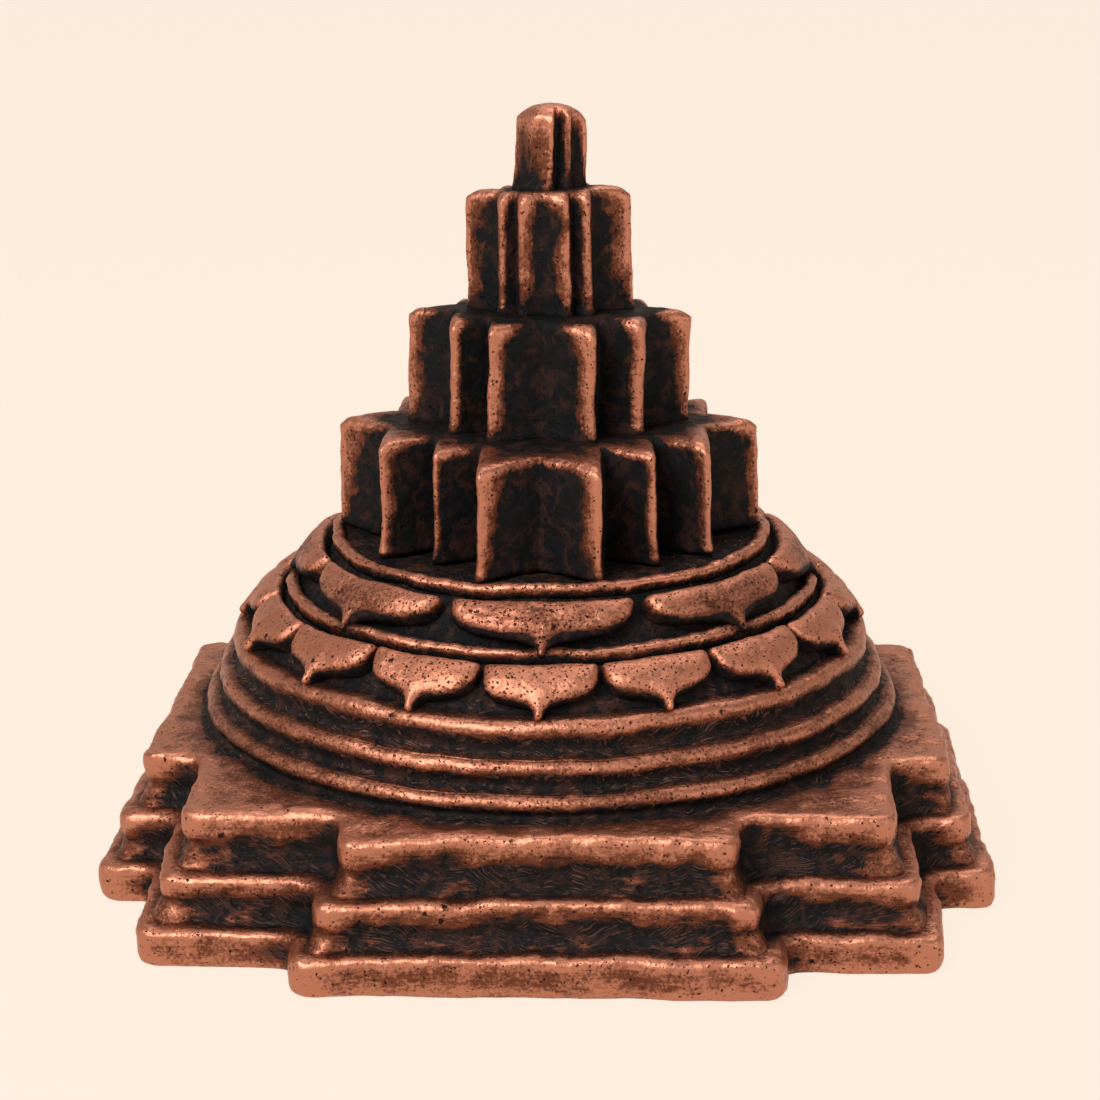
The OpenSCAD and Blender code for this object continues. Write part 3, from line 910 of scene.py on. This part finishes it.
def round_shoulders(piece, top, reach):
    """Rounds the upper outer corners of a tier, which hands have worn down."""
    points = read_points(piece)
    corner = np.clip(1 - behind_corners(points[:, :2]) / reach, 0, 1)
    upper = np.clip(1 - (top - points[:, 2]) / (2 * reach), 0, 1)
    points[:, 2] -= reach * (1 - np.sqrt(1 - corner ** 2)) * upper
    move_points(piece, points)


def shelter_hollows(piece, strength):
    """Notes that the rubbing did not reach behind the corners of a tier."""
    behind = behind_corners(read_points(piece)[:, :2])
    share = np.clip((behind - SHELTER_START) / (SHELTER_FULL - SHELTER_START), 0, 1)
    note_shelter_and_painted_shade(piece, strength * share)


for node, copper, sheltered in (
    ("star_fourteen", star_copper, 0.8),
    ("star_ten_outer", star_copper, 1.6),
    ("star_ten_inner", upper_star_copper, 0.55),
):
    star = cast_copy(node, STAR_GRAIN)
    melt(star, STAR_MELTS)
    star_foot, star_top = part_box(node)
    spread_foot(star, star_foot.z)
    round_shoulders(star, star_top.z, SHOULDER)
    apply_modifier(star, "DISPLACE", direction="NORMAL", strength=STAR_GROWTH, mid_level=0.0)
    cast_surface(star, None, STAR_LAST_MELTS)
    shelter_hollows(star, sheltered)
    fit_copper(star, node, copper)

# Crown: the eight-cornered top of the stack, cast in copper alloy and worn to a rounded end.
# It screws down on the stud of the tie bar, and holds the tiers under it.
CROWN_GRAIN = 0.14 * MM
CROWN_MELTS = 14
CROWN_SHOULDER = 1.2 * MM
crown_copper = antique_copper("crown_copper", rub=-0.12, stains=UPRIGHT_STAINS, dashes=0.0)
crown = cast_copy("star_eight_crown", CROWN_GRAIN)
crown_foot, crown_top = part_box("star_eight_crown")
spread_foot(crown, crown_foot.z)
round_shoulders(crown, crown_top.z, CROWN_SHOULDER)
cast_surface(crown, None, CROWN_MELTS)
fit_copper(crown, "star_eight_crown", crown_copper)

# Tie bar, washer, nut and base screws: plain bright steel from stock, under the base and inside.
# They only show from below, and are turned or rolled with a fine drawn grain.
STEEL_DARK = (0.36, 0.36, 0.37, 1)
STEEL_BRIGHT = (0.56, 0.56, 0.57, 1)
STEEL_ROUGHNESS = (0.3, 0.45)
STEEL_GRAIN_SCALE = 3.0
STEEL_GRAIN_RANGE = (0.3, 0.7)
steel = bpy.data.materials.new("fastener_steel")
steel.use_nodes = True
steel_tree = steel.node_tree
steel_shader = steel_tree.nodes["Principled BSDF"]
steel_grain = noise_of(steel_tree, millimetres_of(steel_tree), STEEL_GRAIN_SCALE, detail=4.0)
steel_colour = blend_of(steel_tree, steel_grain, STEEL_DARK, STEEL_BRIGHT)
steel_tree.links.new(steel_colour, steel_shader.inputs["Base Color"])
steel_rough = ramp_of(steel_tree, steel_grain, *STEEL_GRAIN_RANGE, *STEEL_ROUGHNESS)
steel_tree.links.new(steel_rough, steel_shader.inputs["Roughness"])
steel_shader.inputs["Metallic"].default_value = 1.0
for node in ("tie_bar", "clamp_washer", "clamp_nut", "base_screws"):
    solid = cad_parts[node]
    solid.data.materials.clear()
    solid.data.materials.append(steel)

# Rubbing back: the whole stack was blackened once assembled, then rubbed on what stands out.
# The wear of each point is how far it stands out of the softened shape of the stack round it,
# and less where a corner shelters it. Faces that look up are also painted a little lighter than the walls:
# that is painted light from above, and the lower petal flanks add painted shade.
SKIN_GRAIN = 0.38 * MM
NEAR = 0.7 * MM
NEAR_FULL = 0.25 * MM
NEAR_SHARE = 0.6
NEAR_LIMITS = (-0.6, 0.75)
BROAD = 2.8 * MM
BROAD_FULL = 0.95 * MM
BROAD_SHARE = 0.5
BROAD_LIMITS = (-0.7, 0.7)
# Painted light: how much lighter faces that look up are painted than the walls, and the facing where this
# is zero.
UPWARD_PAINTED_LIGHT = 0.5
PAINTED_LIGHT_MIDDLE = 0.34


def softened(points, edges, reach):
    """The points of a skin, each moved towards its neighbours until the shape is soft over this reach."""
    count = len(points)
    first, second = edges.T
    neighbours = np.bincount(edges.ravel(), minlength=count)[:, None]
    rounds = int(round(4 * (reach / SKIN_GRAIN) ** 2))
    for _ in range(rounds):
        total = np.stack([
            np.bincount(first, points[second, axis], count)
            + np.bincount(second, points[first, axis], count)
            for axis in range(3)
        ], 1)
        points = 0.5 * points + 0.5 * total / neighbours
    return points


def stands_out(points, normals, edges, reach):
    """How far each point of a skin stands out of the same skin softened over this reach."""
    return np.einsum("ij,ij->i", points - softened(points, edges, reach), normals)


bpy.ops.object.select_all(action="DESELECT")
for piece in cast_pieces:
    double = bpy.data.objects.new("double", piece.data.copy())
    bpy.context.scene.collection.objects.link(double)
    double.select_set(True)
    bpy.context.view_layer.objects.active = double
bpy.ops.object.join()
skin = bpy.context.object
fuse(skin, SKIN_GRAIN)
skin_points, skin_normals = read_points(skin), read_points(skin, "normal")
skin_edges = np.empty(len(skin.data.edges) * 2, dtype=np.int32)
skin.data.edges.foreach_get("vertices", skin_edges)
skin_edges = skin_edges.reshape(-1, 2)
near = stands_out(skin_points, skin_normals, skin_edges, NEAR)
broad = stands_out(skin_points, skin_normals, skin_edges, BROAD)
skin_wear = np.clip(NEAR_SHARE * near / NEAR_FULL, *NEAR_LIMITS)
skin_wear += np.clip(BROAD_SHARE * broad / BROAD_FULL, *BROAD_LIMITS)
bpy.data.objects.remove(skin)
finder = kdtree.KDTree(len(skin_points))
for index, point in enumerate(skin_points):
    finder.insert(point, index)
finder.balance()
for piece in cast_pieces:
    piece.data.attributes.new("wear_and_painted_light", "FLOAT", "POINT")
    found = [finder.find(corner.co)[1] for corner in piece.data.vertices]
    level = read_points(piece, "normal")[:, 2]
    # Painted light: faces that look up are painted lighter and walls darker, as if lit from above.
    worn_and_painted_light = (skin_wear[found] + UPWARD_PAINTED_LIGHT * (level - PAINTED_LIGHT_MIDDLE)).astype(np.float32)
    # The shelter darkens sheltered corners and ledges, and adds painted shade on the lower petal flanks.
    if "shelter_and_painted_shade" in piece.data.attributes:
        sheltered = np.empty_like(worn_and_painted_light)
        piece.data.attributes["shelter_and_painted_shade"].data.foreach_get("value", sheltered)
        worn_and_painted_light -= sheltered
    piece.data.attributes["wear_and_painted_light"].data.foreach_set("value", worn_and_painted_light)

# Stage: a pale floor that keeps the shadow, pale walls under a dark ceiling, and three soft lamps.
# The main lamp stands in front on the left and above; the camera looks down on the front gate.
CREAM = (0.991, 0.855, 0.73, 1)
FLOOR_SIZE = 6.0
FLOOR_GLOW = 0.96
bpy.ops.object.select_all(action="DESELECT")
bpy.ops.mesh.primitive_plane_add(size=FLOOR_SIZE, location=(0, 0, cad_box[0].z))
floor = bpy.context.object
floor.name = "floor"


def pale_backdrop(tree):
    """Share of rays that should see the plain pale background: from the camera, metal or glass."""
    rays = put(tree, "LightPath").outputs
    seen = math_of(tree, "MAXIMUM", rays["Is Camera Ray"], rays["Is Glossy Ray"])
    return math_of(tree, "MAXIMUM", seen, rays["Is Transmission Ray"])


paper = bpy.data.materials.new("paper")
paper.use_nodes = True
paper_tree = paper.node_tree
paper_shader = paper_tree.nodes["Principled BSDF"]
paper_shader.inputs["Base Color"].default_value = CREAM
paper_shader.inputs["Roughness"].default_value = 0.9
paper_shader.inputs["Specular IOR Level"].default_value = 0.0
paper_glow = put(paper_tree, "Emission", Color=CREAM, Strength=1.0)
paper_seen = math_of(paper_tree, "MULTIPLY", pale_backdrop(paper_tree), FLOOR_GLOW)
paper_mix = put(
    paper_tree, "MixShader", i0=paper_seen, i1=paper_shader.outputs[0], i2=paper_glow.outputs[0]
)
paper_tree.links.new(paper_mix.outputs[0], paper_tree.nodes["Material Output"].inputs["Surface"])
floor.data.materials.append(paper)

WALL_LIGHT = 0.75
CEILING_LIGHT = 0.36
WALL_TOP = (0.1, 0.6)
world = bpy.data.worlds.new("studio")
bpy.context.scene.world = world
world.use_nodes = True
world_tree = world.node_tree
world_light = world_tree.nodes["Background"]
world_light.inputs["Color"].default_value = CREAM
world_place = put(world_tree, "TexCoord").outputs["Generated"]
look_up = put(world_tree, "SeparateXYZ", Vector=world_place).outputs["Z"]
world_level = ramp_of(world_tree, look_up, *WALL_TOP, WALL_LIGHT, CEILING_LIGHT)
world_tree.links.new(world_level, world_light.inputs["Strength"])


def soft_lamp(name, place, size, power):
    """A square soft lamp that faces the middle of the object."""
    bpy.ops.object.light_add(type="AREA", location=place)
    lamp = bpy.context.object
    lamp.name = name
    lamp.data.shape = "SQUARE"
    lamp.data.size = size
    lamp.data.energy = power
    middle = Vector((0, 0, cad_box[1].z / 2))
    lamp.rotation_euler = (middle - Vector(place)).to_track_quat("-Z", "Y").to_euler()


soft_lamp("main_lamp", place=(-0.24, -0.36, 0.42), size=0.28, power=2.9)
soft_lamp("fill_lamp", place=(0.38, -0.3, 0.22), size=0.3, power=0.38)
soft_lamp("top_lamp", place=(0.05, 0.2, 0.5), size=0.3, power=0.9)

CAMERA_AZIMUTH = math.radians(1.964)
CAMERA_HEIGHT = math.radians(15.999)
CAMERA_ROLL = math.radians(-0.321)
CAMERA_DISTANCE = 240.18 * MM
CAMERA_AIM = 25.96 * MM
CAMERA_LENS = 87.79
CAMERA_SENSOR = 36.0
bpy.ops.object.camera_add()
camera = bpy.context.object
camera.data.lens = CAMERA_LENS
camera.data.sensor_width = CAMERA_SENSOR
turn = Matrix.Rotation(CAMERA_AZIMUTH, 4, "Z") @ Matrix.Rotation(math.pi / 2 - CAMERA_HEIGHT, 4, "X")
turn = turn @ Matrix.Rotation(CAMERA_ROLL, 4, "Z")
camera.matrix_world = (
    Matrix.Translation((0, 0, CAMERA_AIM)) @ turn @ Matrix.Translation((0, 0, CAMERA_DISTANCE))
)
bpy.context.scene.camera = camera
bpy.context.scene.view_settings.view_transform = "Standard"
